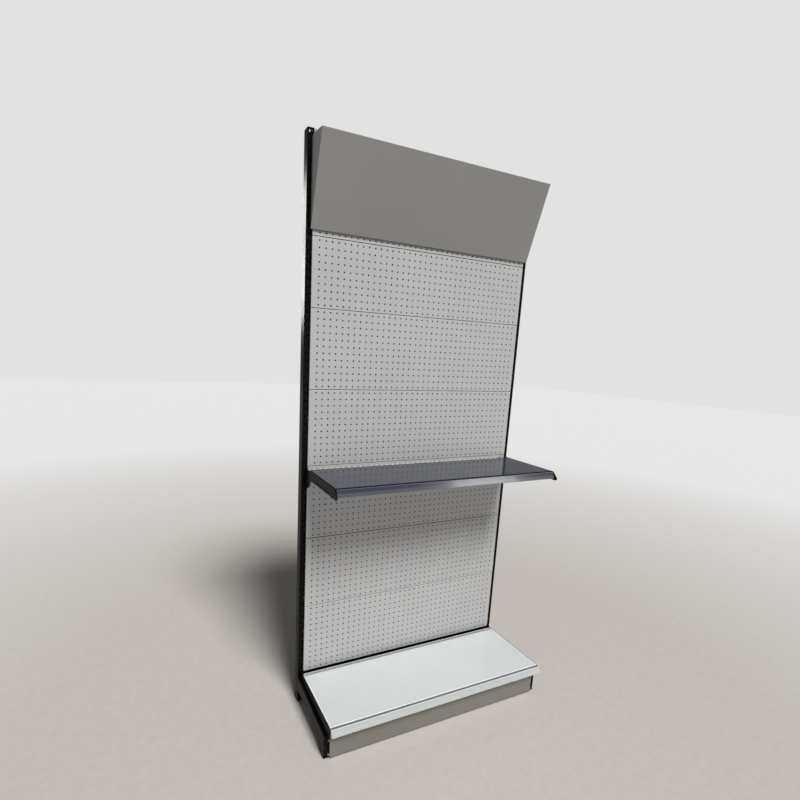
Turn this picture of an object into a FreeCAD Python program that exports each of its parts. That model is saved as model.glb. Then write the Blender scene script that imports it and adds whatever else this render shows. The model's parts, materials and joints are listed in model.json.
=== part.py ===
import FreeCAD, Part
import math
import os

# Single-sided pegboard gondola bay: two slotted uprights on base legs, seven perforated
# back panels, one shelf on hooked brackets, a base deck, a kick plate and a header.
# Millimetres. +X is to the right of a shopper facing the stand, the front faces -Y,
# +Z is up, and the origin is on the floor at the middle of the overall footprint.
# A "reach" is a distance forward from the face of the back panels.

# --- driving dimensions: overall -----------------------------------------------------
BAY = 1000.0              # distance between the centre lines of the two uprights
HEIGHT = 2250.0           # floor to the open tops of the uprights
DEPTH = 415.2             # back of the uprights to the front of the base price rail
BASE_H = 150.0            # floor to the top of the base deck
FIT = 0.3                 # clearance between parts that hook or slide together
SHEET = 1.0               # thickness of the folded panels, trays and header
BEND_R = 1.8              # outer radius of their folded edges

# --- uprights and their hook slots ---------------------------------------------------
UP_W = 25.0
UP_D = 40.0
UP_T = 1.5
UP_R = 2.5
TUBE_BOTTOM = 8.0
SLOT_PITCH = 30.0
SLOT_H = 15.0
SLOT_W = 4.0
SLOT_R = 1.2              # corner radius of a slot
SLOT_OFF = 5.0            # each of the two slot columns from the upright's centre line
SLOT_FIRST = 15.0         # height of the slot grid's datum
HOOK_T = 2.5              # hooks that drop into the slots
HOOK_NECK = 8.0
HOOK_LIP = 6.0
HOOK_TIP = 5.0            # how far a hook reaches behind the slotted wall
HOOK_SEAT = 0.4           # hook above the slot's lower edge

# --- back panels -----------------------------------------------------------------------
PANEL_HEIGHTS = [300.0, 300.0, 300.0, 300.0, 300.0, 250.0, 346.0]
PANEL_GAP = 0.8
PANEL_W = 980.0
PANEL_STAND = 8.0         # panel face in front of the upright face
PANEL_FLANGE = 12.0
HOLE_PITCH = 25.0
HOLE_D = 6.3
HOLE_COLS = 38
HOLE_MARGIN = 12.5        # first hole row above a panel's bottom edge
CLIP_RISE = 45.0          # lower clip above a panel's bottom edge, moved to the slot grid
CLIP_SPAN = 5             # slots between a panel's lower and upper clips
CLIP_T = 2.0
CLIP_BACK = 2.0           # back of a clip's bridge in front of the slotted wall

# --- tie beams behind the panels -------------------------------------------------------
TIE_H = 40.0
TIE_D = 20.0
TIE_T = 1.5
TIE_RETURN = 8.0
TIE_PLATE_T = 2.5
TIE_SETBACK = 8.0         # behind the front face of the uprights
TIE_LEVELS = {"lower": 112.0, "upper": 2180.0}
TIE_BOLT_D = 6.0
TIE_BOLT_INSET = 10.0
TIE_BOLT_FLATS = 10.0

# --- base legs -------------------------------------------------------------------------
LEG_FRONT = 321.0         # reach of the foot's front face
LEG_T = 2.0
LEG_ARM_Z = 60.0          # underside of the arm
LEG_REAR_TOP = 121.6      # top of the arm at the back and at the front
LEG_FRONT_TOP = 97.0
LEG_BOTTOM = 2.0
LEG_HOOK_Z = (75.0, 105.0)
FOOT_SLOTS = (22.0, 52.0, 82.0)
WEB_T = 2.5               # upright web plate that carries the deck
NOSE_REACH = 350.0
SUPPORT_REACH = 272.0     # support tab under the deck, and its rivet
BRIDGE_Z = 22.0           # plate inside the foot that holds the leveller's nut
BRIDGE_T = 3.0

# --- levelling feet --------------------------------------------------------------------
PAD_T = 5.0
REAR_PAD_D = 22.0
REAR_STUD_D = 10.0
LEG_PAD_D = 18.0
LEG_STUD_D = 8.0
STUD_CLEARANCE = 0.6
NUT_FLATS = 13.0
NUT_H = 6.5

# --- shelf -------------------------------------------------------------------------------
SHELF_Z = 1042.5          # top of the tray
SHELF_BACK = 30.0         # reach of the tray's back and front edges
SHELF_FRONT = 300.0
SHELF_W = 980.0
SHELF_SIDE = 34.0
SHELF_LIP = 30.0
SHELF_REAR = 24.0
SHELF_RIB_REACH = (110.0, 215.0)
BRACKET_T = 2.5
BRACKET_TAIL = 77.0       # bottom of the bracket's rear plate below the tray top
BRACKET_NOSE = 333.0      # reach of the bracket's nose
LEDGE_W = 12.0
LEDGE_T = 2.5
SHELF_HOOK_Z = 1035.0     # slot that carries the bracket's hook
SHELF_TAB_Z = 975.0       # slot that takes its locating tab
BEAD_R = 2.4              # stiffening bead pressed into the bracket's side
RIVET_SPOTS = ((280.0, 23.0), (308.0, 20.0))    # reach, and drop below the tray top

# --- base deck and kick plate --------------------------------------------------------------
DECK_BACK = 27.0
DECK_FRONT = 344.0
DECK_W = 996.0
DECK_SIDE = 28.0
DECK_UPSTAND = 8.0
DECK_RIB_REACH = (95.0, 190.0, 285.0)
RIB_W = 36.0              # hat-section stiffeners under the shelf and the deck
RIB_H = 18.0
RIB_FOOT = 12.0
KICK_BOTTOM = 4.0
KICK_TOP = 119.0
KICK_FLANGE = 10.0

# --- price rails -----------------------------------------------------------------------------
RAIL_T = 1.4
RAIL_DROP = 26.0          # height of the sloping face
RAIL_SLOPE = 13.0         # how far the foot of the face stands in front of its head
RAIL_GROOVE = 9.0         # gap between the tray and the head of the face
RAIL_HEAD = 3.0           # head of the face below the tray top
RAIL_WEB = 8.0            # web that joins the face and the clip wall, below the head
INSERT_T = 0.7
RIDGE_H = 1.4

# --- header ------------------------------------------------------------------------------------
HEADER_BOTTOM = 1920.0
HEADER_TOP = 2216.0
HEADER_W = 999.0
HEADER_LEAN = 106.0       # reach of the face's top edge
HEADER_TOE = 7.0          # reach of its bottom edge
HEADER_HEM = 1.0          # reach of the back edge of its bottom flange
HEADER_RISE = 10.0        # how much higher the top is at the uprights than at the face
CHEEK_BACK = 18.0         # reach of the rear edge of the folded cheeks
TOP_RETURN = 60.0         # depth of the top flange
HEADER_HOOK_Z = (1965.0, 2175.0)
TAB_W = 18.0              # bracket tab under the top flange
TAB_T = 2.5
SCREW_REACH = (64.0, 88.0)
SCREW_D = 3.5
SCREW_HEAD_D = 7.0
SCREW_HEAD_T = 2.0

# --- derived positions ---------------------------------------------------------------------------
UP_X = BAY / 2
UP_BACK = DEPTH / 2
UP_FRONT = UP_BACK - UP_D
UP_Y = (UP_FRONT + UP_BACK) / 2
PANEL_Y = UP_FRONT - PANEL_STAND
INNER_SLOT_X = UP_X - SLOT_OFF
UP_INSIDE = UP_X - UP_W / 2
LEG_Y = PANEL_Y - LEG_FRONT
LEVELLER_Y = LEG_Y + 21.0
TIE_Y = UP_FRONT + TIE_SETBACK
TIE_BOLT_Y = TIE_Y + TIE_D / 2
SIDES = {"left": -1.0, "right": 1.0}
BIG = 3000.0              # longer than anything in the stand, for half-space cutters

V = FreeCAD.Vector
parts = {}


def fwd(reach):
    """Y of a plane that lies reach mm in front of the panel face."""
    return PANEL_Y - reach


# --- small geometry helpers ------------------------------------------------------------------------
def box(x0, x1, y0, y1, z0, z1):
    low = V(min(x0, x1), min(y0, y1), min(z0, z1))
    return Part.makeBox(abs(x1 - x0), abs(y1 - y0), abs(z1 - z0), low)


def rounded_wire(corners):
    """Closed wire through (point, radius) corners; a radius of 0 keeps the corner sharp."""
    count = len(corners)
    ends = []
    for i in range(count):
        here, radius = corners[i]
        if radius <= 0:
            ends.append((here, here, None))
            continue
        before = (corners[i - 1][0] - here).normalize()
        after = (corners[(i + 1) % count][0] - here).normalize()
        half = before.getAngle(after) / 2
        trim = radius / math.tan(half)
        centre = here + (before + after).normalize() * (radius / math.sin(half))
        middle = centre + (here - centre).normalize() * radius
        ends.append((here + before * trim, here + after * trim, middle))
    edges = []
    for i in range(count):
        start, stop, middle = ends[i]
        if middle is not None:
            edges.append(Part.Arc(start, middle, stop).toShape())
        following = ends[(i + 1) % count][0]
        if (following - stop).Length > 1e-6:
            edges.append(Part.LineSegment(stop, following).toShape())
    return Part.Wire(edges)


def prism_x(profile, x0, x1):
    """Extrude (y, z) or (y, z, radius) corners along X."""
    corners = []
    for p in profile:
        corners.append((V(min(x0, x1), p[0], p[1]), p[2] if len(p) > 2 else 0))
    return Part.Face(rounded_wire(corners)).extrude(V(abs(x1 - x0), 0, 0))


def prism_z(profile, z0, z1):
    """Extrude (x, y) or (x, y, radius) corners along Z."""
    corners = []
    for p in profile:
        corners.append((V(p[0], p[1], z0), p[2] if len(p) > 2 else 0))
    return Part.Face(rounded_wire(corners)).extrude(V(0, 0, z1 - z0))


def rounded_rect_z(xc, yc, width, depth, radius, z0, z1):
    x0 = xc - width / 2
    x1 = xc + width / 2
    y0 = yc - depth / 2
    y1 = yc + depth / 2
    return prism_z([(x0, y0, radius), (x1, y0, radius), (x1, y1, radius), (x0, y1, radius)], z0, z1)


def cyl_z(x, y, z0, z1, diameter):
    return Part.makeCylinder(diameter / 2, z1 - z0, V(x, y, z0), V(0, 0, 1))


def cyl_x(x0, x1, y, z, diameter):
    return Part.makeCylinder(diameter / 2, abs(x1 - x0), V(min(x0, x1), y, z), V(1, 0, 0))


def hexagon(flats):
    """Six corners of a hexagon with the given width across flats."""
    radius = flats / math.sqrt(3)
    angles = [math.radians(60 * k) for k in range(6)]
    return [(radius * math.cos(a), radius * math.sin(a)) for a in angles]


def hexagon_z(x, y, z0, z1, flats):
    return prism_z([(x + dx, y + dy) for dx, dy in hexagon(flats)], z0, z1)


def hexagon_x(x0, x1, y, z, flats):
    return prism_x([(y + dy, z + dz) for dy, dz in hexagon(flats)], x0, x1)


def meet(p, along_p, q, along_q):
    """Corner where two lines in the Y-Z plane cross, each given by a point and a direction."""
    cross = along_p[0] * along_q[1] - along_p[1] * along_q[0]
    share = ((q[0] - p[0]) * along_q[1] - (q[1] - p[1]) * along_q[0]) / cross
    return (p[0] + along_p[0] * share, p[1] + along_p[1] * share)


def fuse(*solids):
    shape = solids[0].multiFuse(list(solids[1:]))
    return shape.removeSplitter()


def cut(shape, tools):
    return shape.cut(Part.makeCompound(tools))


def slot_tool(x, z, y0, y1):
    """Rounded rectangular cutter, tall way up, for one hook slot."""
    half = SLOT_H / 2
    side = SLOT_W / 2
    corners = []
    for dx, dz in ((-side, -half), (side, -half), (side, half), (-side, half)):
        corners.append((V(x + dx, y0, z + dz), SLOT_R))
    return Part.Face(rounded_wire(corners)).extrude(V(0, y1 - y0, 0))


def slot_floor(z):
    """Underside of a hook that rests in the slot centred on height z."""
    return z - SLOT_H / 2 + HOOK_SEAT


def hook(x, z, face_y=UP_FRONT, wall_t=UP_T):
    """Flat hook that hangs in the slot centred on height z, in a wall whose front is face_y."""
    low = slot_floor(z)
    high = low + HOOK_NECK
    root = face_y - CLIP_BACK
    behind = face_y + wall_t + 1.8
    far = face_y + wall_t + HOOK_TIP
    outline = [
        (root, low), (root, high), (far, high), (far, low - HOOK_LIP), (behind, low - HOOK_LIP),
        (behind, low)]
    return prism_x(outline, x - HOOK_T / 2, x + HOOK_T / 2)


def save(name, shape):
    parts[name] = shape


# --- uprights ------------------------------------------------------------------------------------------
def slot_heights():
    count = int((HEIGHT - SLOT_FIRST - SLOT_H) / SLOT_PITCH)
    return [SLOT_FIRST + SLOT_PITCH * k for k in range(1, count + 1)]


def tie_bolt_heights(level):
    return (level + TIE_BOLT_INSET, level + TIE_H - TIE_BOLT_INSET)


def make_upright(side):
    s = SIDES[side]
    xc = s * UP_X
    outer = rounded_rect_z(xc, UP_Y, UP_W, UP_D, UP_R, TUBE_BOTTOM, HEIGHT)
    inner = rounded_rect_z(xc, UP_Y, UP_W - 2 * UP_T, UP_D - 2 * UP_T, UP_R - UP_T,
                           TUBE_BOTTOM - 1, HEIGHT + 1)
    tools = [inner]
    for z in slot_heights():
        for dx in (-SLOT_OFF, SLOT_OFF):
            tools.append(slot_tool(xc + dx, z, UP_FRONT - 1, UP_FRONT + UP_T + 1))
    for level in TIE_LEVELS.values():
        for z in tie_bolt_heights(level):
            wall = s * UP_INSIDE
            tools.append(cyl_x(wall - 3, wall + 3, TIE_BOLT_Y, z, TIE_BOLT_D + STUD_CLEARANCE))
    save("upright_" + side, cut(outer, tools))


# --- levelling feet ------------------------------------------------------------------------------------
def leveller(x, y, pad_d, stud_d, stud_top):
    """Screw-in foot: round pad with chamfered rims, and its stud."""
    pad = cyl_z(x, y, 0, PAD_T, pad_d)
    rims = [e for e in pad.Edges if e.Curve.TypeId == "Part::GeomCircle"]
    pad = pad.makeChamfer(1.0, rims)
    stud = cyl_z(x, y, PAD_T - 1, stud_top, stud_d)
    return fuse(pad, stud)


def make_upright_foot(side):
    xc = SIDES[side] * UP_X
    collar = rounded_rect_z(xc, UP_Y, UP_W, UP_D, UP_R, TUBE_BOTTOM - 2.4, TUBE_BOTTOM)
    plug_w = UP_W - 2 * UP_T - 2 * FIT
    plug_d = UP_D - 2 * UP_T - 2 * FIT
    plug = rounded_rect_z(xc, UP_Y, plug_w, plug_d, 0.8, TUBE_BOTTOM, TUBE_BOTTOM + 18)
    bore = cyl_z(xc, UP_Y, 0, TUBE_BOTTOM + 20, REAR_STUD_D + STUD_CLEARANCE)
    save("upright_foot_insert_" + side, cut(fuse(collar, plug), [bore]))
    save("rear_leveller_" + side, leveller(xc, UP_Y, REAR_PAD_D, REAR_STUD_D, TUBE_BOTTOM + 36))


# --- base legs -------------------------------------------------------------------------------------------
def leg_shell(xc):
    """Folded box arm with the foot at its front, open underneath."""
    half = UP_W / 2
    rear = UP_FRONT - FIT
    outline = [
        (rear, LEG_ARM_Z), (LEG_Y + 68, LEG_ARM_Z, 14), (LEG_Y + 58, 24, 30),
        (LEG_Y + 40, LEG_BOTTOM, 14), (LEG_Y, LEG_BOTTOM, 2), (LEG_Y, LEG_FRONT_TOP, 3),
        (rear, LEG_REAR_TOP)]
    shell = prism_x(outline, xc - half, xc + half)
    front_edges = []
    for e in shell.Edges:
        b = e.BoundBox
        if b.YMin > LEG_Y - 0.01 and b.YMax < LEG_Y + 0.01 and b.ZLength > 50:
            front_edges.append(e)
    shell = shell.makeFillet(1.9, front_edges)
    below = LEG_BOTTOM - 20
    hollow = [
        (rear - 3, LEG_ARM_Z - 40), (LEG_Y + 34, below), (LEG_Y + LEG_T, below),
        (LEG_Y + LEG_T, LEG_FRONT_TOP - LEG_T), (rear - 3, LEG_REAR_TOP - LEG_T)]
    tools = [prism_x(hollow, xc - half + LEG_T, xc + half - LEG_T)]
    for z in FOOT_SLOTS:
        for dx in (-SLOT_OFF, SLOT_OFF):
            tools.append(slot_tool(xc + dx, z, LEG_Y - 1, LEG_Y + LEG_T + 1))
    return cut(shell, tools)


def leg_web(xc):
    """Plate on the leg's centre line that rises to the deck, with a nose and an eye in it."""
    rear = UP_FRONT - FIT
    top = BASE_H - SHEET - 0.2
    nose = fwd(NOSE_REACH)
    inside = LEG_Y + 1.0
    outline = [
        (rear, LEG_ARM_Z + 4), (rear, top), (nose + 8, top, 6), (nose, top - 14, 10),
        (nose + 6, 104, 12), (inside, 98), (inside, 84), (LEG_Y + 40, 70, 20)]
    web = prism_x(outline, xc - WEB_T / 2, xc + WEB_T / 2)
    return cut(web, [cyl_x(xc - 5, xc + 5, nose + 15, 112, 6.0)])


def make_leg(side):
    s = SIDES[side]
    xc = s * UP_X
    half = UP_W / 2
    rear = UP_FRONT - FIT
    solids = [leg_shell(xc), leg_web(xc)]
    solids.append(box(xc - half, xc + half, rear - 3, rear, LEG_ARM_Z, LEG_REAR_TOP))
    web_side = xc - s * (WEB_T / 2)
    support_y = fwd(SUPPORT_REACH)
    rest_z = BASE_H - DECK_SIDE - FIT
    solids.append(box(web_side, web_side - s * 9, support_y - 14, support_y + 14, rest_z - 2, rest_z))
    solids.append(box(web_side, web_side - s * 2, support_y - 14, support_y + 14, rest_z - 16, rest_z))
    bridge = box(xc - half + 1, xc + half - 1, LEG_Y + 10, LEG_Y + 36, BRIDGE_Z, BRIDGE_Z + BRIDGE_T)
    stud_hole = cyl_z(xc, LEVELLER_Y, BRIDGE_Z - 2, BRIDGE_Z + BRIDGE_T + 2, LEG_STUD_D + STUD_CLEARANCE)
    solids.append(cut(bridge, [stud_hole]))
    for dx in (-SLOT_OFF, SLOT_OFF):
        for z in LEG_HOOK_Z:
            solids.append(hook(xc + dx, z))
    save("base_leg_" + side, fuse(*solids))
    save("leg_leveller_" + side, leveller(xc, LEVELLER_Y, LEG_PAD_D, LEG_STUD_D, 48))


def make_leg_fasteners():
    nuts = []
    rivets = []
    for s in SIDES.values():
        xc = s * UP_X
        seat = BRIDGE_Z + BRIDGE_T
        nut = hexagon_z(xc, LEVELLER_Y, seat, seat + NUT_H, NUT_FLATS)
        nuts.append(nut.cut(cyl_z(xc, LEVELLER_Y, seat - 2, seat + NUT_H + 2,
                                  LEG_STUD_D + STUD_CLEARANCE)))
        outer = xc + s * WEB_T / 2
        rivet_y = fwd(SUPPORT_REACH)
        rivet_z = BASE_H - DECK_SIDE - 9
        head = Part.makeSphere(4.0, V(outer, rivet_y, rivet_z))
        rivets.append(head.common(box(outer, outer + s * 1.6, rivet_y - 5, rivet_y + 5,
                                      rivet_z - 5, rivet_z + 5)))
    save("leg_leveller_nuts", Part.makeCompound(nuts))
    save("base_leg_rivets", Part.makeCompound(rivets))


# --- back panels -------------------------------------------------------------------------------------------
def folded_pan(face_y, flange, z0, z1):
    """Sheet face at face_y with four flanges folded back, rounded at the bends."""
    half = PANEL_W / 2
    block = box(-half, half, face_y, face_y + flange, z0, z1)
    bends = []
    for e in block.Edges:
        b = e.BoundBox
        in_face = b.YMax < face_y + 0.01
        if in_face or b.YLength > flange - 0.01:
            bends.append(e)
    block = block.makeFillet(BEND_R, bends)
    inside = box(-half + SHEET, half - SHEET, face_y + SHEET, face_y + flange + 1,
                 z0 + SHEET, z1 - SHEET)
    return block.cut(inside)


def clear_of_upright(face_y, flange, z0, z1):
    """Cutters that shorten a pan's flanges where they pass in front of the uprights."""
    tools = []
    for s in SIDES.values():
        tools.append(box(s * (UP_INSIDE - 1), s * (PANEL_W / 2 + 1), face_y + PANEL_STAND - FIT,
                         face_y + flange + 1, z0 - 1, z1 + 1))
    return tools


def hole_tools(rows, z_first):
    tools = []
    x_first = -(HOLE_COLS - 1) * HOLE_PITCH / 2
    for r in range(rows):
        for c in range(HOLE_COLS):
            start = V(x_first + c * HOLE_PITCH, PANEL_Y - 1, z_first + r * HOLE_PITCH)
            tools.append(Part.makeCylinder(HOLE_D / 2, SHEET + 2, start, V(0, 1, 0)))
    return tools


def clip(s, z, face_y, wall_t):
    """Hook in the inner slot column, with the bridge that ties it to a pan's side flange."""
    x = s * INNER_SLOT_X
    low = slot_floor(z)
    back = face_y - CLIP_BACK
    bridge = box(s * (PANEL_W / 2 - SHEET), x + s * HOOK_T / 2, back - CLIP_T, back,
                 low, low + HOOK_NECK)
    return [bridge, hook(x, z, face_y, wall_t)]


def panel_clip_slots(z):
    """Heights of the two slots that hold a panel whose bottom edge is at z."""
    low = SLOT_FIRST + SLOT_PITCH * round((z + CLIP_RISE - SLOT_FIRST) / SLOT_PITCH)
    return (low, low + CLIP_SPAN * SLOT_PITCH)


def make_panel(z, height):
    z0 = z + PANEL_GAP / 2
    z1 = z + height - PANEL_GAP / 2
    pan = folded_pan(PANEL_Y, PANEL_FLANGE, z0, z1)
    rows = int(height / HOLE_PITCH + 0.5)
    tools = clear_of_upright(PANEL_Y, PANEL_FLANGE, z0, z1)
    tools += hole_tools(rows, z + HOLE_MARGIN)
    solids = [cut(pan, tools)]
    for s in SIDES.values():
        for slot_z in panel_clip_slots(z):
            solids += clip(s, slot_z, UP_FRONT, UP_T)
    return fuse(*solids)


def make_panels():
    z = BASE_H
    for number, height in enumerate(PANEL_HEIGHTS, start=1):
        save("back_panel_%d" % number, make_panel(z, height))
        z += height


# --- tie beams -----------------------------------------------------------------------------------------------
def tie_channel(level, half):
    y0 = TIE_Y
    y1 = TIE_Y + TIE_D
    y2 = y1 - TIE_T
    top = level + TIE_H
    outline = [
        (y0, level), (y1, level), (y1, level + TIE_RETURN), (y2, level + TIE_RETURN),
        (y2, level + TIE_T), (y0 + TIE_T, level + TIE_T), (y0 + TIE_T, top - TIE_T),
        (y2, top - TIE_T), (y2, top - TIE_RETURN), (y1, top - TIE_RETURN), (y1, top), (y0, top)]
    return prism_x(outline, -half, half)


def make_ties():
    bolts = []
    nuts = []
    end_x = UP_INSIDE - FIT
    plate_x = end_x - TIE_PLATE_T
    wall_x = UP_INSIDE + UP_T
    hole_d = TIE_BOLT_D + STUD_CLEARANCE
    for name, level in TIE_LEVELS.items():
        solids = [tie_channel(level, end_x - 1)]
        for s in SIDES.values():
            plate = box(s * end_x, s * plate_x, TIE_Y, TIE_Y + TIE_D, level, level + TIE_H)
            for z in tie_bolt_heights(level):
                plate = plate.cut(cyl_x(s * end_x - 4, s * end_x + 4, TIE_BOLT_Y, z, hole_d))
                head = hexagon_x(s * plate_x, s * (plate_x - 4), TIE_BOLT_Y, z, TIE_BOLT_FLATS)
                shank = cyl_x(s * plate_x, s * (wall_x + 8), TIE_BOLT_Y, z, TIE_BOLT_D)
                bolts.append(fuse(head, shank))
                nut = hexagon_x(s * wall_x, s * (wall_x + 5), TIE_BOLT_Y, z, TIE_BOLT_FLATS)
                thread = cyl_x(s * (wall_x - 1), s * (wall_x + 6), TIE_BOLT_Y, z, TIE_BOLT_D + 0.4)
                nuts.append(nut.cut(thread))
            solids.append(plate)
        save(name + "_tie_beam", fuse(*solids))
    save("tie_beam_bolts", Part.makeCompound(bolts))
    save("tie_beam_nuts", Part.makeCompound(nuts))


# --- trays (shelf and base deck) -------------------------------------------------------------------------------
def folded_tray(width, back, front, z_top, side, lip):
    """Sheet top at z_top with the front and side flanges folded down, open at the back."""
    half = width / 2
    y_back = fwd(back)
    y_front = fwd(front)
    block = box(-half, half, y_front, y_back, z_top - side, z_top)
    bends = []
    for e in block.Edges:
        b = e.BoundBox
        top_edge = b.ZMin > z_top - 0.01 and b.YMin < y_back - 0.01
        front_corner = b.ZLength > side - 0.01 and b.YMax < y_front + 0.01
        if top_edge or front_corner:
            bends.append(e)
    block = block.makeFillet(BEND_R, bends)
    tools = [box(-half + SHEET, half - SHEET, y_front + SHEET, y_back + 1,
                 z_top - side - 1, z_top - SHEET)]
    if lip < side:
        tools.append(box(-half + SHEET, half - SHEET, y_front - 1, y_front + SHEET + 1,
                         z_top - side - 1, z_top - lip))
    return cut(block, tools)


def hat_channel(half, reach, z_top):
    """Open hat section welded under a tray."""
    yc = fwd(reach)
    w = RIB_W / 2
    low = z_top - RIB_H
    outline = [
        (yc - w - RIB_FOOT, z_top), (yc - w, z_top), (yc - w + 3, low + SHEET),
        (yc + w - 3, low + SHEET), (yc + w, z_top), (yc + w + RIB_FOOT, z_top),
        (yc + w + RIB_FOOT, z_top - SHEET), (yc + w + 1, z_top - SHEET), (yc + w - 2, low),
        (yc - w + 2, low), (yc - w - 1, z_top - SHEET), (yc - w - RIB_FOOT, z_top - SHEET)]
    return prism_x(outline, -half, half)


# --- price rails -------------------------------------------------------------------------------------------------
def rail_point(front, z_top, along, proud):
    """Point on the rail's sloping face: along from its head, proud of its surface."""
    run = math.hypot(RAIL_SLOPE, RAIL_DROP)
    down = (-RAIL_SLOPE / run, -RAIL_DROP / run)
    out = (-RAIL_DROP / run, RAIL_SLOPE / run)
    y = fwd(front) - FIT - RAIL_GROOVE + down[0] * along + out[0] * proud
    z = z_top - RAIL_HEAD + down[1] * along + out[1] * proud
    return (y, z)


def rail_profile(front, z_top):
    """Clip wall against the tray, web, and sloping face with a hem along its foot."""
    wall = fwd(front) - FIT
    head_y, head_z = rail_point(front, z_top, 0, 0)
    foot_y, foot_z = rail_point(front, z_top, math.hypot(RAIL_SLOPE, RAIL_DROP), 0)
    level_t = RAIL_T * math.hypot(RAIL_SLOPE, RAIL_DROP) / RAIL_DROP
    web = head_z - RAIL_WEB
    hem = foot_z + 2.6

    def inside(z):
        return head_y + level_t - (head_z - z) * RAIL_SLOPE / RAIL_DROP

    return [
        (wall, web + 4), (wall, foot_z + 4), (wall - RAIL_T, foot_z + 4),
        (wall - RAIL_T, web - RAIL_T), (inside(web - RAIL_T), web - RAIL_T), (inside(hem), hem),
        (wall - 6, hem), (wall - 6, foot_z), (foot_y, foot_z, 1.2), (head_y, head_z, 0.6),
        (head_y + level_t, head_z, 0.3), (inside(web), web), (wall - RAIL_T, web),
        (wall - RAIL_T, web + 4)]


def make_rail(name, width, front, z_top):
    half = width / 2
    run = math.hypot(RAIL_SLOPE, RAIL_DROP)
    ridges_at = (1.4, run - 1.7)
    solids = [prism_x(rail_profile(front, z_top), -half, half)]
    for centre in ridges_at:
        corners = []
        for along, proud in ((-0.8, -0.3), (-0.8, RIDGE_H), (0.8, RIDGE_H), (0.8, -0.3)):
            corners.append(rail_point(front, z_top, centre + along, proud))
        solids.append(prism_x(corners, -half, half))
    save(name + "_price_rail", fuse(*solids))
    start = ridges_at[0] + 1.2
    stop = ridges_at[1] - 1.2
    lift = 0.05
    corners = []
    for along, proud in ((start, lift), (start, lift + INSERT_T), (stop, lift + INSERT_T), (stop, lift)):
        corners.append(rail_point(front, z_top, along, proud))
    save(name + "_price_insert", prism_x(corners, -half + 2, half - 2))


# --- shelf ---------------------------------------------------------------------------------------------------------
def bracket_plate(x0, x1):
    """Side plate: slotted end at the back, shallow arm, and a nose that covers the rail's end."""
    top = SHELF_Z - 1.5
    low = SHELF_Z - SHELF_SIDE - FIT - LEDGE_T
    tail = SHELF_Z - BRACKET_TAIL
    rear = UP_FRONT - 1.0
    outline = [
        (rear, tail, 3), (rear, SHELF_HOOK_Z - 8), (rear - 4, top, 2), (fwd(306), top, 4),
        (fwd(318), SHELF_Z - 12, 8), (fwd(BRACKET_NOSE), SHELF_Z - 30, 3), (fwd(325), low, 4),
        (fwd(58), low, 14), (fwd(38), SHELF_Z - 66, 8), (fwd(16), tail, 8)]
    return prism_x(outline, x0, x1)


def bracket_bead(s, outer):
    """Half-round bead along the arm, with rounded ends."""
    x = outer - s * 0.9
    z = SHELF_Z - 29
    back = fwd(70)
    front = fwd(250)
    bead = fuse(Part.makeCylinder(BEAD_R, back - front, V(x, front, z), V(0, 1, 0)),
                Part.makeSphere(BEAD_R, V(x, front, z)),
                Part.makeSphere(BEAD_R, V(x, back, z)))
    return bead.common(box(s * INNER_SLOT_X, s * (INNER_SLOT_X + 20), -BIG, BIG, 0, BIG))


def make_bracket(side):
    s = SIDES[side]
    xc = s * INNER_SLOT_X
    x0 = xc - BRACKET_T / 2
    x1 = xc + BRACKET_T / 2
    inner = xc - s * BRACKET_T / 2
    ledge_top = SHELF_Z - SHELF_SIDE - FIT
    ledge = box(xc, inner - s * LEDGE_W, fwd(296), fwd(60), ledge_top - LEDGE_T, ledge_top)
    bead = bracket_bead(s, xc + s * BRACKET_T / 2)
    tab_low = SHELF_TAB_Z - 5.5
    tab = box(x0, x1, UP_FRONT - 2, UP_FRONT + UP_T + 3.5, tab_low, tab_low + 11)
    catch = hook(xc, SHELF_HOOK_Z)
    save("shelf_bracket_" + side, fuse(bracket_plate(x0, x1), ledge, bead, catch, tab))


def make_bracket_rivets():
    rivets = []
    for s in SIDES.values():
        outer = s * (INNER_SLOT_X + BRACKET_T / 2)
        for reach, drop in RIVET_SPOTS:
            dome = Part.makeSphere(3.0, V(outer - s * 1.2, fwd(reach), SHELF_Z - drop))
            rivets.append(dome.common(box(outer, outer + s * 3, -BIG, BIG, 0, BIG)))
    save("shelf_bracket_rivets", Part.makeCompound(rivets))


def make_shelf():
    tray = folded_tray(SHELF_W, SHELF_BACK, SHELF_FRONT, SHELF_Z, SHELF_SIDE, SHELF_LIP)
    half = SHELF_W / 2
    rear_flange = box(-half + SHEET, half - SHEET, fwd(SHELF_BACK) - SHEET, fwd(SHELF_BACK),
                      SHELF_Z - SHELF_REAR, SHELF_Z - SHEET / 2)
    save("shelf_tray", fuse(tray, rear_flange))
    ribs = [hat_channel(half - 20, reach, SHELF_Z - SHEET) for reach in SHELF_RIB_REACH]
    save("shelf_stiffeners", Part.makeCompound(ribs))
    make_rail("shelf", SHELF_W - 2, SHELF_FRONT, SHELF_Z)
    for side in SIDES:
        make_bracket(side)
    make_bracket_rivets()


# --- base deck and kick plate ----------------------------------------------------------------------------------------
def make_deck():
    deck = folded_tray(DECK_W, DECK_BACK, DECK_FRONT, BASE_H, DECK_SIDE, DECK_SIDE)
    half = DECK_W / 2
    back = fwd(DECK_BACK)
    rim = BASE_H + DECK_UPSTAND
    low = BASE_H - SHEET
    upstand = prism_x([(back - SHEET, low), (back, low), (back, rim, 0.4), (back - SHEET, rim, 0.4)],
                      -half, half)
    save("base_deck", fuse(deck, upstand))
    ribs = [hat_channel(half - 20, reach, BASE_H - SHEET) for reach in DECK_RIB_REACH]
    save("deck_stiffeners", Part.makeCompound(ribs))
    make_rail("deck", DECK_W, DECK_FRONT, BASE_H)


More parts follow.
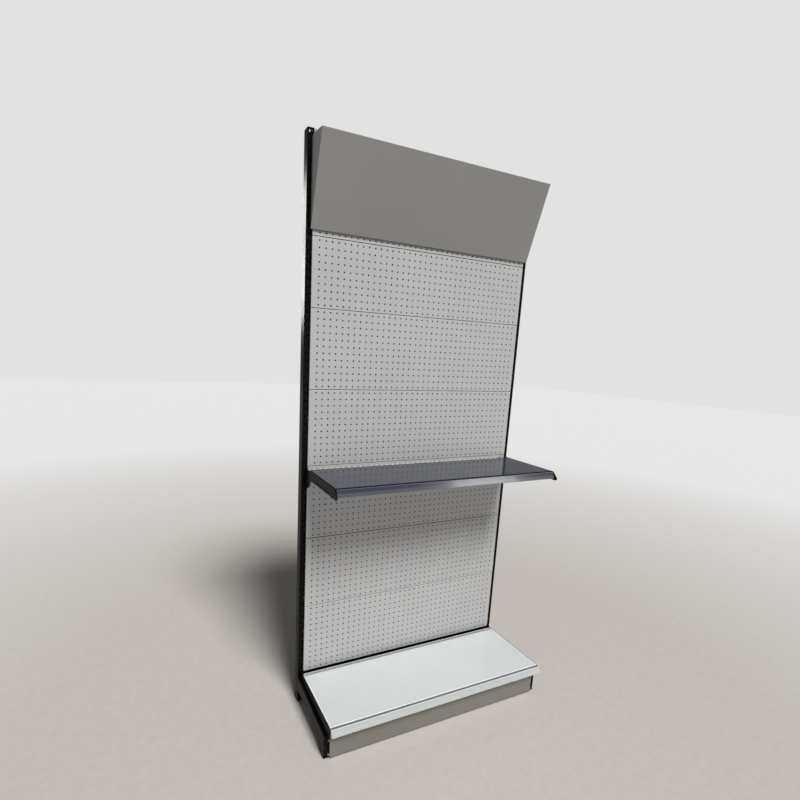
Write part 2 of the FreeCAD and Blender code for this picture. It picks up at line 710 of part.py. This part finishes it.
def make_kick_plate():
    face = LEG_Y - PANEL_STAND
    pan = folded_pan(face, KICK_FLANGE, KICK_BOTTOM, KICK_TOP)
    solids = [cut(pan, clear_of_upright(face, KICK_FLANGE, KICK_BOTTOM, KICK_TOP))]
    for s in SIDES.values():
        for z in (FOOT_SLOTS[0], FOOT_SLOTS[-1]):
            solids += clip(s, z, LEG_Y, LEG_T)
    save("kick_plate", fuse(*solids))


# --- header ------------------------------------------------------------------------------------------------------------
FACE_FOOT = (fwd(HEADER_TOE), HEADER_BOTTOM)
FACE_HEAD = (fwd(HEADER_LEAN), HEADER_TOP)
FACE_LINE = (FACE_HEAD[0] - FACE_FOOT[0], FACE_HEAD[1] - FACE_FOOT[1])
TOP_LINE = (UP_FRONT - FACE_HEAD[0], HEADER_RISE)


def header_corner(inset_face, inset_top):
    """Where lines parallel to the face and the top, set inwards, cross."""
    run = math.hypot(*FACE_LINE)
    top_run = math.hypot(*TOP_LINE)
    behind = (FACE_FOOT[0] + FACE_LINE[1] / run * inset_face,
              FACE_FOOT[1] - FACE_LINE[0] / run * inset_face)
    under = (FACE_HEAD[0] + TOP_LINE[1] / top_run * inset_top,
             FACE_HEAD[1] - TOP_LINE[0] / top_run * inset_top)
    return meet(behind, FACE_LINE, under, TOP_LINE), behind, under


def along_top(under, y):
    """Point at y on the line through under that is parallel to the header's top."""
    return (y, under[1] + (y - under[0]) * TOP_LINE[1] / TOP_LINE[0])


def header_pan():
    """Leaning face with two cheeks and a top flange folded back, and a narrow bottom flange."""
    half = HEADER_W / 2
    rear = fwd(HEADER_HEM)
    outline = [FACE_FOOT, FACE_HEAD, along_top(FACE_HEAD, rear), (rear, HEADER_BOTTOM)]
    block = prism_x(outline, -half, half)
    block = block.makeFillet(BEND_R, [e for e in block.Edges if e.BoundBox.YMin < FACE_FOOT[0] + 0.01])
    head, behind, under = header_corner(SHEET, SHEET)
    floor = (rear, HEADER_BOTTOM + SHEET)
    foot = meet(behind, FACE_LINE, floor, (1, 0))
    flange_end = along_top(under, fwd(HEADER_LEAN) + TOP_RETURN)
    above = HEADER_TOP + 100
    hollow = [foot, head, flange_end, (flange_end[0], above), (rear + 1, above), (rear + 1, floor[1])]
    cheek_foot = meet(behind, FACE_LINE, (fwd(CHEEK_BACK), 0), (0, 1))
    rear_space = [foot, cheek_foot, (cheek_foot[0], above), (rear + 1, above), (rear + 1, floor[1])]
    inside = prism_x(hollow, -half + SHEET, half - SHEET)
    behind_cheeks = prism_x(rear_space, -half - 1, half + 1)
    return cut(block, [inside, behind_cheeks])


def header_bracket(s):
    """Flat plate with two hooks, a tab under the top flange, and notches that clear the
    top panel's clips while the header is lifted off."""
    gap = SHEET + FIT
    head, behind, under = header_corner(gap, gap)
    rear = UP_FRONT - 1.0
    low = HEADER_BOTTOM + 2 * SHEET
    foot = meet(behind, FACE_LINE, (0, low), (1, 0))
    x0 = s * (INNER_SLOT_X - HOOK_T / 2)
    x1 = s * (INNER_SLOT_X + HOOK_T / 2)
    plate = prism_x([(rear, low), (foot[0], foot[1], 2), (head[0], head[1], 3),
                     along_top(under, rear) + (4,)], x0, x1)
    front = head[0] + 3
    back = fwd(HEADER_LEAN) + TOP_RETURN - 4
    tab = [along_top(under, front), along_top(under, back)]
    tab += [(y, z - TAB_T) for y, z in reversed(tab)]
    solids = [plate, prism_x(tab, x0 + s * 1, x0 - s * TAB_W)]
    for z in HEADER_HOOK_Z:
        solids.append(hook(s * INNER_SLOT_X, z))
    top_panel = BASE_H + sum(PANEL_HEIGHTS[:-1])
    notch_y = UP_FRONT - CLIP_BACK - CLIP_T - 1
    notches = []
    for z in panel_clip_slots(top_panel):
        low = slot_floor(z)
        notches.append(box(x0 - s, x1 + s, notch_y, UP_FRONT, low - HOOK_NECK, low + HOOK_NECK + 1))
    return cut(fuse(*solids), notches)


def header_screw(s, reach):
    """Pan-head screw that holds the top flange down on the bracket's tab."""
    foot = along_top(FACE_HEAD, fwd(reach))
    start = V(s * (INNER_SLOT_X - HOOK_T / 2 - TAB_W / 2), foot[0], foot[1])
    up = V(0, -TOP_LINE[1], TOP_LINE[0]).normalize()
    head = Part.makeCylinder(SCREW_HEAD_D / 2, SCREW_HEAD_T, start, up)
    crown = [e for e in head.Edges if e.BoundBox.ZMin > foot[1] + SCREW_HEAD_T / 2]
    head = head.makeFillet(SCREW_HEAD_T * 0.6, crown)
    stem = Part.makeCylinder(SCREW_D / 2, 8.0, start + up * 0.5, up * -1)
    return fuse(head, stem)


def make_header():
    pan = header_pan()
    screws = []
    for side, s in SIDES.items():
        own = [header_screw(s, reach) for reach in SCREW_REACH]
        save("header_bracket_" + side, cut(header_bracket(s), own))
        screws += own
    save("header_panel", cut(pan, screws))
    save("header_screws", Part.makeCompound(screws))


# --- build -------------------------------------------------------------------------------------------------------------------
for side_name in SIDES:
    make_upright(side_name)
    make_upright_foot(side_name)
    make_leg(side_name)
make_leg_fasteners()
make_ties()
make_panels()
make_shelf()
make_deck()
make_kick_plate()
make_header()

os.makedirs("parts", exist_ok=True)
for node, solid in parts.items():
    solid.exportStep("parts/%s.step" % node)
    print(node, "solids", len(solid.Solids), "valid", solid.isValid())
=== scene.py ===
import json
import math

import bpy
from mathutils import Matrix, Vector


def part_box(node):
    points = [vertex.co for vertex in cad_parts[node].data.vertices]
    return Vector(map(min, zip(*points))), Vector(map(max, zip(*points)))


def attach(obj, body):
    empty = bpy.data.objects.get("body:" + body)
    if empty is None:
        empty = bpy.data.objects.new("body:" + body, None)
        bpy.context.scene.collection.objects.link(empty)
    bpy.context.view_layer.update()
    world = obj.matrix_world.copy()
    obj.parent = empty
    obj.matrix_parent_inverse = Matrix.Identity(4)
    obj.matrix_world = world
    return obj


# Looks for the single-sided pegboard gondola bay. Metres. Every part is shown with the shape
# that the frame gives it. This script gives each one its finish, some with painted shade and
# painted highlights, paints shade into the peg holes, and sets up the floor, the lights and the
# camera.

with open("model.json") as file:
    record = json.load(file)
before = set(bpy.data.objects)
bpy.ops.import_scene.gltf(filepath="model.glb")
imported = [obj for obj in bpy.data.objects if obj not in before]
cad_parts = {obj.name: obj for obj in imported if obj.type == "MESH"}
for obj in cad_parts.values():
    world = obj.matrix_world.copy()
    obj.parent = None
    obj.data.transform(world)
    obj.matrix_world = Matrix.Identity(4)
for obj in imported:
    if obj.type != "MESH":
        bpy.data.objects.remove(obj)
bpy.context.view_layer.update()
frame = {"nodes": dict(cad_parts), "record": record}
nodes = frame["nodes"]

MM = 0.001

# --- sizes of the frame's parts ------------------------------------------------------------
PANELS = ["back_panel_%d" % number for number in range(1, 8)]
PANEL_FACE_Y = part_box(PANELS[0])[0].y
PANEL_GAP = 0.8 * MM
HOLE_PITCH = 25.0 * MM
HOLE_D = 6.3 * MM
HOLE_COLS = 38
HOLE_MARGIN = 12.5 * MM     # first hole row above a panel's bottom edge
CLIP_X = 490.5 * MM         # the panels' clips stand out beyond this, at both sides
DECK_SIDE_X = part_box("base_deck")[1].x - 4.0 * MM       # the deck's folds get a painted highlight
DECK_FRONT_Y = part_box("base_deck")[0].y + 3.5 * MM      # beyond these

# --- painted shade in the peg holes --------------------------------------------------------
SHADE_SIDES = 12
SHADE_RADIUS = HOLE_D / 2 * 1.02
SHADE_DEPTH = 0.1 * MM      # behind the panel's face
SHELF_PANEL = 3             # its top hole row, level with the shelf, has light behind it

# --- wear, painted shade and painted highlights ----------------------------------------------
CREVICE_SHADE_REACH = 15 * MM       # how far from a gap its painted shade reaches
RUBBED_AND_LIT_EDGE = 0.80               # grey of an edge where the paint is thin, and of the kick plate's painted edge highlight
# grey of the painted highlight on the deck's edges and folds
DECK_EDGE_HIGHLIGHT = 0.97
CLIP_BLACK = 0.010

# --- light levels --------------------------------------------------------------------------
WALL_LIGHT = 0.27
CEILING_LIGHT = 0.08
WALL_TO_CEILING = (0.06, 0.60)      # a ray's rise out of 1, where one turns into the other
BACKDROP = 0.76
KEY_STRENGTH = 3.05
KEY_SPREAD = 20.0           # degrees: apparent width, which softens the shadows
KEY_HEIGHT = 52.0           # degrees above level
KEY_SIDE = 0.08             # how far it stands to the right, for each metre in front

# --- floor ---------------------------------------------------------------------------------
FLOOR_HALF = 20.0
FLOOR_FADE = (1.6, 6.0)     # distances between which it turns into the backdrop's brightness
FLOOR_FAR = BACKDROP * 0.97

# --- camera --------------------------------------------------------------------------------
CAMERA_PLACE = (-1.0797, -1.6171, 1.4945)
CAMERA_YAW = -26.02         # degrees: turn about the vertical, tilt from straight down, roll
CAMERA_TILT = 78.83
CAMERA_ROLL = 2.69
SENSOR = 36.0
FOCAL = 21.898
SHIFT_X = 0.0347
SHIFT_Y = 0.0623


# --- node-tree helpers -----------------------------------------------------------------------
class Tree:
    """A material's node tree, with short calls for the nodes the finishes share."""

    def __init__(self, name):
        self.material = bpy.data.materials.new(name)
        self.material.use_nodes = True
        self.nodes = self.material.node_tree.nodes
        self.links = self.material.node_tree.links
        self.shader = self.nodes["Principled BSDF"]
        self.place = self.nodes.new("ShaderNodeTexCoord").outputs["Object"]

    def set(self, **values):
        """Set the shader's own sockets, with _ for each space in their names."""
        for socket, value in values.items():
            self.shader.inputs[socket.replace("_", " ")].default_value = value

    def plug(self, output, socket):
        self.links.new(output, self.shader.inputs[socket])

    def mapping(self, scale):
        node = self.nodes.new("ShaderNodeMapping")
        node.inputs["Scale"].default_value = scale
        self.links.new(self.place, node.inputs["Vector"])
        return node.outputs["Vector"]

    def noise(self, scale, detail=3.0, roughness=0.55, vector=None):
        node = self.nodes.new("ShaderNodeTexNoise")
        node.inputs["Scale"].default_value = scale
        node.inputs["Detail"].default_value = detail
        node.inputs["Roughness"].default_value = roughness
        self.links.new(vector or self.place, node.inputs["Vector"])
        return node.outputs["Fac"]

    def cells(self, scale):
        """A random colour in each cell of a packed-cell pattern."""
        node = self.nodes.new("ShaderNodeTexVoronoi")
        node.inputs["Scale"].default_value = scale
        self.links.new(self.place, node.inputs["Vector"])
        return node.outputs["Color"]

    def span(self, value, low, high, to_low=0.0, to_high=1.0):
        """Stretch low..high to to_low..to_high, and stop at both ends."""
        node = self.nodes.new("ShaderNodeMapRange")
        node.clamp = True
        for socket, number in zip(("From Min", "From Max", "To Min", "To Max"),
                                  (low, high, to_low, to_high)):
            node.inputs[socket].default_value = number
        self.links.new(value, node.inputs["Value"])
        return node.outputs["Result"]

    def math(self, kind, a, b):
        node = self.nodes.new("ShaderNodeMath")
        node.operation = kind
        for socket, value in zip(node.inputs, (a, b)):
            if isinstance(value, (int, float)):
                socket.default_value = value
            else:
                self.links.new(value, socket)
        return node.outputs["Value"]

    def times(self, a, b):
        return self.math("MULTIPLY", a, b)

    def mix(self, share, a, b):
        """Colour a at share 0, colour b at share 1. Each is a colour or an output."""
        node = self.nodes.new("ShaderNodeMix")
        node.data_type = "RGBA"
        inputs = {socket.identifier: socket for socket in node.inputs}
        self.links.new(share, inputs["Factor_Float"])
        for name, value in (("A_Color", a), ("B_Color", b)):
            if isinstance(value, tuple):
                inputs[name].default_value = value
            else:
                self.links.new(value, inputs[name])
        return [s for s in node.outputs if s.identifier == "Result_Color"][0]

    def split(self, vector):
        """The X, Y and Z outputs of a vector."""
        node = self.nodes.new("ShaderNodeSeparateXYZ")
        self.links.new(vector, node.inputs["Vector"])
        return node.outputs

    def normal(self):
        return self.nodes.new("ShaderNodeNewGeometry").outputs["Normal"]

    def edges(self, radius):
        """1 on sharp edges and 0 on flat metal, from how far a rounded normal turns away."""
        bevel = self.nodes.new("ShaderNodeBevel")
        bevel.samples = 4
        bevel.inputs["Radius"].default_value = radius
        dot = self.nodes.new("ShaderNodeVectorMath")
        dot.operation = "DOT_PRODUCT"
        self.links.new(bevel.outputs["Normal"], dot.inputs[0])
        self.links.new(self.normal(), dot.inputs[1])
        return self.span(dot.outputs["Value"], 0.995, 0.80)

    def leaning(self, low, high):
        """0 where the metal's normal rises by low, 1 where by high (1 is straight up)."""
        return self.span(self.split(self.normal())["Z"], low, high)

    def beyond(self, half_width):
        """1 further than half_width to either side of the part's middle."""
        side = self.math("ABSOLUTE", self.split(self.place)["X"], 0.0)
        return self.math("GREATER_THAN", side, half_width)

    def before(self, front):
        """1 where the part stands further forward than front."""
        return self.math("LESS_THAN", self.split(self.place)["Y"], front)

    def crevice(self, reach):
        """1 deep in gaps narrower than the reach, 0 in the open."""
        node = self.nodes.new("ShaderNodeAmbientOcclusion")
        node.samples = 6
        node.inputs["Distance"].default_value = reach
        return self.span(node.outputs["AO"], 0.90, 0.52)

    def bump(self, height, strength, distance):
        node = self.nodes.new("ShaderNodeBump")
        node.inputs["Strength"].default_value = strength
        node.inputs["Distance"].default_value = distance
        self.links.new(height, node.inputs["Height"])
        self.plug(node.outputs["Normal"], "Normal")


def grey(level, warm=0.0):
    """Linear colour of that level; warm above 0 leans to yellow, below 0 to blue."""
    return (level * (1 + warm), level, level * (1 - warm), 1.0)


def shade(colour, factor):
    return tuple(c * factor for c in colour[:3]) + (1.0,)


# --- finishes ----------------------------------------------------------------------------------
def powder_coat(name, colour, gloss_low, gloss_high, wear_and_edge_light=0.2, peel=0.06, edge=0.9 * MM,
                rim=RUBBED_AND_LIT_EDGE, top_light_under_shade=0.0, clips=False, folds=None):
    """Baked powder coat: orange-peel skin, slow drift of tone, thin edges, dark gaps.

    wear and rim are how much an edge shows and its grey: thin paint on most parts, a painted
    highlight on the kick plate's and the deck's edges. dust paints a highlight on what faces up and
    paints shade on what faces down. clips blackens the panels' clips. folds is the distance to the
    sides and the place in front where a painted highlight on the folds begins.
    """
    t = Tree(name)
    broad = t.noise(2.2, 2.0)
    fine = t.noise(60.0, 4.0)
    tone = t.mix(t.span(broad, 0.35, 0.65), shade(colour, 0.97), shade(colour, 1.03))
    tone = t.mix(t.span(fine, 0.50, 0.75, 0.0, 0.5), tone, shade(colour, 1.045))
    patchy = t.span(t.noise(140.0, 3.0), 0.42, 0.62, 0.3, 1.0)
    # edges: paint worn thin on most parts, a painted highlight on the kick plate and the deck
    worn_and_lit_edges = t.times(t.edges(edge), patchy)
    tone = t.mix(t.times(worn_and_lit_edges, wear_and_edge_light), tone, grey(rim))
    if top_light_under_shade:
        # painted highlight on faces that point up, painted shade on faces that point down
        tone = t.mix(t.times(t.leaning(0.10, 0.45), top_light_under_shade), tone, grey(0.95))
        tone = t.mix(t.times(t.leaning(-0.05, -0.22), 0.97), tone, shade(colour, 0.04))
    if folds:
        side, front = folds
        # painted highlight along the folds at the sides and the front
        tone = t.mix(t.math("MAXIMUM", t.beyond(side), t.before(front)), tone, grey(rim))
    # painted shade: darker deep in gaps and crevices
    tone = t.mix(t.times(t.crevice(CREVICE_SHADE_REACH), 0.85), tone, shade(colour, 0.06))
    if clips:
        tone = t.mix(t.beyond(CLIP_X), tone, grey(CLIP_BLACK))
    t.plug(tone, "Base Color")
    t.plug(t.span(t.noise(3.5, 2.0), 0.25, 0.75, gloss_low, gloss_high), "Roughness")
    skin = t.math("ADD", t.noise(900.0, 2.0, 0.5), t.times(t.noise(100.0, 2.0), 0.5))
    t.bump(skin, peel, 0.1 * MM)
    return t


def extruded_plastic(name, colour, low, high, rub_share=0.35):
    """Extruded profile: fine drawing lines along its length, slightly uneven gloss."""
    t = Tree(name)
    lines = t.noise(26.0, 5.0, 0.65, t.mapping((0.4, 60.0, 60.0)))
    clouds = t.noise(7.0, 3.0)
    tone = t.mix(t.span(lines, 0.35, 0.68), shade(colour, 0.94), shade(colour, 1.06))
    tone = t.mix(t.span(clouds, 0.45, 0.8, 0.0, 0.25), tone, shade(colour, 0.88))
    tone = t.mix(t.times(t.edges(0.6 * MM), rub_share), tone, grey(0.75))
    # painted shade: darker deep in gaps and crevices
    tone = t.mix(t.times(t.crevice(CREVICE_SHADE_REACH), 0.9), tone, shade(colour, 0.05))
    t.plug(tone, "Base Color")
    t.plug(t.span(clouds, 0.3, 0.7, low, high), "Roughness")
    t.bump(lines, 0.12, 0.15 * MM)
    t.set(IOR=1.49)
    return t


def label_strip(name, colour, reflected_lower):
    """Blank card behind a clear film, lighter lower down by a painted reflection: faint fibres and
    clouds, glossy face.
    """
    t = Tree(name)
    fibres = t.noise(420.0, 3.0, 0.7, t.mapping((1.0, 0.4, 0.4)))
    clouds = t.noise(9.0, 2.0)
    height = t.split(t.nodes.new("ShaderNodeTexCoord").outputs["Generated"])["Z"]
    # painted reflection: the top in colour, the lower part in the lighter second colour
    reflection_tone = t.mix(t.span(height, 0.60, 0.40), colour, reflected_lower)
    tone = t.mix(t.span(fibres, 0.4, 0.7, 0.0, 0.2), reflection_tone, shade(colour, 0.80))
    t.plug(t.mix(t.span(clouds, 0.4, 0.7, 0.0, 0.3), tone, shade(colour, 0.92)), "Base Color")
    t.plug(t.span(clouds, 0.3, 0.7, 0.14, 0.24), "Roughness")
    t.bump(fibres, 0.04, 0.1 * MM)
    t.set(Coat_Weight=0.4, Coat_Roughness=0.08)
    return t


def moulded_plastic(name, colour):
    """Spark-eroded plastic plug."""
    t = Tree(name)
    patches = t.noise(40.0, 3.0)
    t.plug(t.mix(t.span(patches, 0.3, 0.7), shade(colour, 0.85), shade(colour, 1.25)), "Base Color")
    t.plug(t.span(patches, 0.3, 0.7, 0.48, 0.62), "Roughness")
    t.bump(t.noise(1600.0, 2.0), 0.25, 0.1 * MM)
    return t


def zinc_plate(name):
    """Bright zinc on small steel fasteners, with grain and slight yellowing."""
    t = Tree(name)
    stain = t.noise(90.0, 4.0)
    tone = t.mix(t.cells(900.0), grey(0.55), grey(0.68))
    tone = t.mix(t.span(stain, 0.5, 0.75, 0.0, 0.5), tone, (0.62, 0.55, 0.40, 1.0))
    t.plug(tone, "Base Color")
    t.plug(t.span(stain, 0.3, 0.7, 0.22, 0.42), "Roughness")
    t.bump(t.noise(1200.0, 2.0), 0.1, 0.05 * MM)
    t.set(Metallic=1.0)
    return t


def painted_hole_shade(name):
    """Painted shade: near-black, nearly without gloss, for what a peg hole shows."""
    t = Tree(name)
    depth = t.noise(700.0, 2.0)
    t.plug(t.mix(t.span(depth, 0.3, 0.7), grey(0.004), grey(0.012)), "Base Color")
    t.plug(t.span(depth, 0.3, 0.7, 0.85, 1.0), "Roughness")
    t.set(Specular_IOR_Level=0.05)
    return t


def black_coat(name):
    """Powder coat so dark that its gloss has to be low too, or grazing light turns it grey."""
    t = powder_coat(name, grey(0.0085, -0.03), 0.26, 0.36, wear_and_edge_light=0.03)
    t.set(IOR=1.10)
    return t


PANEL_GREY = grey(0.49, 0.002)
SHELF_BLUE = (0.045, 0.050, 0.070, 1.0)
DECK_WHITE = (0.72, 0.75, 0.745, 1.0)
KICK_GREY = (0.205, 0.197, 0.168, 1.0)
HEADER_GREY = (0.262, 0.253, 0.238, 1.0)

# painted shade put in the peg holes
HOLE_SHADE_MATERIAL = painted_hole_shade("hole_painted_shade")
FINISHES = {
    "black_powder_coat": black_coat("black_coat"),
    "black_plastic": moulded_plastic("plug", grey(0.02)),
    "zinc_steel": zinc_plate("zinc"),
    # the panels get the painted highlight on top faces and painted shade under their folds
    "panel_enamel": powder_coat("panel_coat", PANEL_GREY, 0.24, 0.32, top_light_under_shade=0.45,
                                clips=True),
    "shelf_enamel": powder_coat("shelf_coat", SHELF_BLUE, 0.08, 0.13, wear_and_edge_light=0.12, peel=0.02),
    # the deck's edges and folds get a painted highlight
    "deck_enamel": powder_coat("deck_coat", DECK_WHITE, 0.08, 0.13, wear_and_edge_light=0.7, peel=0.02,
                               rim=DECK_EDGE_HIGHLIGHT, folds=(DECK_SIDE_X, DECK_FRONT_Y)),
    "shelf_rail_plastic": extruded_plastic("shelf_rail", (0.120, 0.122, 0.140, 1.0), 0.20, 0.30,
                                           rub_share=0.15),
    # each label's second colour is a painted reflection on its lower part
    "shelf_label_strip": label_strip("shelf_label", (0.042, 0.045, 0.070, 1.0),
                                     (0.088, 0.090, 0.097, 1.0)),
    "deck_rail_plastic": extruded_plastic("deck_rail", (0.80, 0.825, 0.82, 1.0), 0.20, 0.30),
    "deck_label_strip": label_strip("deck_label", (0.52, 0.545, 0.545, 1.0),
                                    (0.55, 0.575, 0.575, 1.0)),
    # the kick plate's edges get a painted highlight
    "kick_enamel": powder_coat("kick_coat", KICK_GREY, 0.20, 0.28, wear_and_edge_light=0.8, edge=2.5 * MM),
    "header_enamel": powder_coat("header_coat", HEADER_GREY, 0.32, 0.40),
}


def paint_nodes():
    """Give every frame part the finish of its own material slot."""
    for part in frame["record"]["subparts"]:
        mesh = nodes[part["node"]].data
        for index in range(len(mesh.materials)):
            mesh.materials[index] = FINISHES[part["material_slot"]].material


# --- peg holes ---------------------------------------------------------------------------------
def hole_shades(number, panel):
    """Painted shade: dark discs just inside a panel's peg holes, for the darkness behind the stand.
    """
    low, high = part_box(panel)
    bottom = low.z - PANEL_GAP / 2
    rows = int((high.z - low.z + PANEL_GAP) / HOLE_PITCH + 0.5)
    y = PANEL_FACE_Y + SHADE_DEPTH
    verts = []
    faces = []
    for row in range(rows):
        z = bottom + HOLE_MARGIN + row * HOLE_PITCH
        if number == SHELF_PANEL and row == rows - 1:
            continue
        for col in range(HOLE_COLS):
            x = (col - (HOLE_COLS - 1) / 2) * HOLE_PITCH
            start = len(verts)
            for k in range(SHADE_SIDES):
                a = 2 * math.pi * k / SHADE_SIDES
                verts.append((x + SHADE_RADIUS * math.cos(a), y, z + SHADE_RADIUS * math.sin(a)))
            faces.append(tuple(range(start, start + SHADE_SIDES)))
    mesh = bpy.data.meshes.new("hole_shades_%d" % number)
    mesh.from_pydata(verts, [], faces)
    mesh.materials.append(HOLE_SHADE_MATERIAL.material)
    shades = bpy.data.objects.new(mesh.name, mesh)
    bpy.context.scene.collection.objects.link(shades)
    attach(shades, "frame")


# --- floor, lights and camera --------------------------------------------------------------------
def make_floor():
    """Pale, slightly warm floor that fades into the room's own brightness far from the stand."""
    half = FLOOR_HALF
    mesh = bpy.data.meshes.new("floor")
    mesh.from_pydata([(-half, -half, 0), (half, -half, 0), (half, half, 0), (-half, half, 0)],
                     [], [(0, 1, 2, 3)])
    t = Tree("pale_floor")
    length = t.nodes.new("ShaderNodeVectorMath")
    length.operation = "LENGTH"
    t.links.new(t.place, length.inputs[0])
    far = t.span(length.outputs["Value"], *FLOOR_FADE)
    speck = t.noise(30.0, 4.0)
    near = t.mix(t.span(speck, 0.3, 0.7), (0.60, 0.56, 0.52, 1.0), (0.64, 0.60, 0.56, 1.0))
    t.plug(t.mix(far, near, grey(0.05)), "Base Color")
    t.set(Roughness=0.8, Emission_Color=(1.0, 1.0, 1.0, 1.0), Specular_IOR_Level=0.2)
    t.plug(t.times(far, FLOOR_FAR), "Emission Strength")
    mesh.materials.append(t.material)
    floor = bpy.data.objects.new("floor", mesh)
    bpy.context.scene.collection.objects.link(floor)


def make_room():
    """Pale surroundings, dimmer overhead, seen as a plain brighter backdrop."""
    world = bpy.data.worlds.new("studio")
    world.use_nodes = True
    room = world.node_tree.nodes
    links = world.node_tree.links
    split = room.new("ShaderNodeSeparateXYZ")
    links.new(room.new("ShaderNodeTexCoord").outputs["Generated"], split.inputs["Vector"])
    rise = room.new("ShaderNodeMath")
    rise.operation = "ABSOLUTE"
    links.new(split.outputs["Z"], rise.inputs[0])
    level = room.new("ShaderNodeMapRange")
    for socket, number in zip(("From Min", "From Max", "To Min", "To Max"),
                              (*WALL_TO_CEILING, WALL_LIGHT, CEILING_LIGHT)):
        level.inputs[socket].default_value = number
    links.new(rise.outputs["Value"], level.inputs["Value"])
    lit = room["Background"]
    lit.inputs["Color"].default_value = (1.0, 1.0, 1.0, 1.0)
    links.new(level.outputs["Result"], lit.inputs["Strength"])
    seen = room.new("ShaderNodeBackground")
    seen.inputs["Color"].default_value = (1.0, 1.0, 1.0, 1.0)
    seen.inputs["Strength"].default_value = BACKDROP
    pick = room.new("ShaderNodeMixShader")
    links.new(room.new("ShaderNodeLightPath").outputs["Is Camera Ray"], pick.inputs[0])
    links.new(lit.outputs["Background"], pick.inputs[1])
    links.new(seen.outputs["Background"], pick.inputs[2])
    links.new(pick.outputs["Shader"], room["World Output"].inputs["Surface"])
    bpy.context.scene.world = world


def make_key():
    """One broad soft light high above the front."""
    data = bpy.data.lights.new("key", "SUN")
    data.energy = KEY_STRENGTH
    data.angle = math.radians(KEY_SPREAD)
    key = bpy.data.objects.new("key", data)
    towards = Vector((KEY_SIDE, -1.0, math.tan(math.radians(KEY_HEIGHT))))
    key.rotation_euler = towards.to_track_quat("Z", "Y").to_euler()
    bpy.context.scene.collection.objects.link(key)


def make_strip(name, place, target, width, height, power, parts):
    """Lamp that lights only the named parts."""
    data = bpy.data.lights.new(name, "AREA")
    data.shape = "RECTANGLE"
    data.size = width
    data.size_y = height
    data.energy = power
    light = bpy.data.objects.new(name, data)
    light.visible_camera = False
    light.location = place
    light.rotation_euler = (Vector(target) - Vector(place)).to_track_quat("-Z", "Y").to_euler()
    bpy.context.scene.collection.objects.link(light)
    lit = bpy.data.collections.new("lit_by_" + name)
    for part in parts:
        lit.objects.link(nodes[part])
    light.light_linking.receiver_collection = lit


def make_camera():
    data = bpy.data.cameras.new("camera")
    data.sensor_width = SENSOR
    data.lens = FOCAL
    data.shift_x = SHIFT_X
    data.shift_y = SHIFT_Y
    camera = bpy.data.objects.new("camera", data)
    yaw = Matrix.Rotation(math.radians(CAMERA_YAW), 4, "Z")
    tilt = Matrix.Rotation(math.radians(CAMERA_TILT), 4, "X")
    roll = Matrix.Rotation(math.radians(CAMERA_ROLL), 4, "Z")
    camera.matrix_world = Matrix.Translation(CAMERA_PLACE) @ yaw @ tilt @ roll
    bpy.context.scene.collection.objects.link(camera)
    bpy.context.scene.camera = camera


paint_nodes()
for panel_number, panel_name in enumerate(PANELS, start=1):
    hole_shades(panel_number, panel_name)
make_floor()
make_room()
make_key()
make_strip("upright_strip", place=(-1.25, 2.4, 2.25), target=(-0.5, 0.2, 1.8), width=0.4,
           height=1.0, power=45.0, parts=["upright_left"])
make_strip("rail_strip", place=(1.35, -1.44, 1.95), target=(0.12, -0.16, 1.03), width=0.45,
           height=0.7, power=6.4, parts=["shelf_price_rail", "shelf_price_insert"])
make_camera()
bpy.context.scene.view_settings.view_transform = "Standard"
